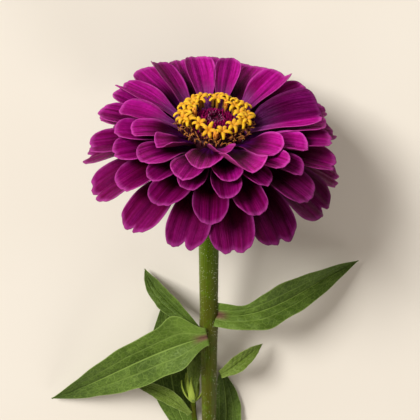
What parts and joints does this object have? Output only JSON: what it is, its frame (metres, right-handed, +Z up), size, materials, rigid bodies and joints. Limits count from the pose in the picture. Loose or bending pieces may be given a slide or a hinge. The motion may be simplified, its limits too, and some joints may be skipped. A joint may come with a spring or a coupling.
{
  "type": "cut zinnia flower",
  "caption": "Double purple zinnia lying on its side: rows of petals round a disc of yellow florets, on a leafy cut stem with a side shoot.",
  "frame": {"origin": "on the floor, at the middle of the box round the lying flower", "axes": "+Z up from the floor, +Y along the stem towards the head, +X to the right when looking down with the head away from the viewer"},
  "size_m": [0.1299, 0.1838, 0.0807],
  "materials": {
    "petal": "satin magenta purple, lighter streaks",
    "petal_outer": "satin deep purple, lighter rim",
    "disc": "matt burgundy, fringed scales",
    "floret": "matt yellow",
    "involucre": "matt green, dark fringed bracts",
    "leaf": "matt green, raised veins",
    "bud": "matt bright green",
    "stem": "matt green with fine hairs"
  },
  "bodies": {
    "root": {"disc_cone": "disc", "floret_ring": "floret", "leaf_back_left": "leaf", "leaf_left": "leaf", "leaf_low_left": "leaf", "leaf_low_right": "leaf", "leaf_right": "leaf", "petal_inner_01": "petal", "petal_inner_02": "petal", "petal_inner_03": "petal", "petal_inner_04": "petal", "petal_inner_05": "petal", "petal_inner_06": "petal", "petal_inner_07": "petal", "petal_inner_08": "petal", "petal_inner_09": "petal", "petal_inner_10": "petal", "petal_inner_11": "petal", "petal_inner_12": "petal", "petal_outer_01": "petal_outer", "petal_outer_02": "petal_outer", "petal_outer_03": "petal_outer", "petal_outer_04": "petal_outer", "petal_outer_05": "petal_outer", "petal_outer_06": "petal_outer", "petal_outer_07": "petal_outer", "petal_outer_08": "petal_outer", "petal_outer_09": "petal_outer", "petal_outer_10": "petal_outer", "petal_outer_11": "petal_outer", "petal_outer_12": "petal_outer", "petal_outer_13": "petal_outer", "petal_outer_14": "petal_outer", "petal_second_01": "petal", "petal_second_02": "petal", "petal_second_03": "petal", "petal_second_04": "petal", "petal_second_05": "petal", "petal_second_06": "petal", "petal_second_07": "petal", "petal_second_08": "petal", "petal_second_09": "petal", "petal_second_10": "petal", "petal_second_11": "petal", "petal_second_12": "petal", "petal_second_13": "petal", "petal_whorl_fourth": "petal_outer", "petal_whorl_third": "petal", "receptacle": "involucre", "shoot_leaf_inner": "leaf", "shoot_leaf_left": "leaf", "shoot_leaf_right": "leaf", "side_bud": "bud", "side_shoot": "stem", "stem": "stem"}
  },
  "joints": []
}
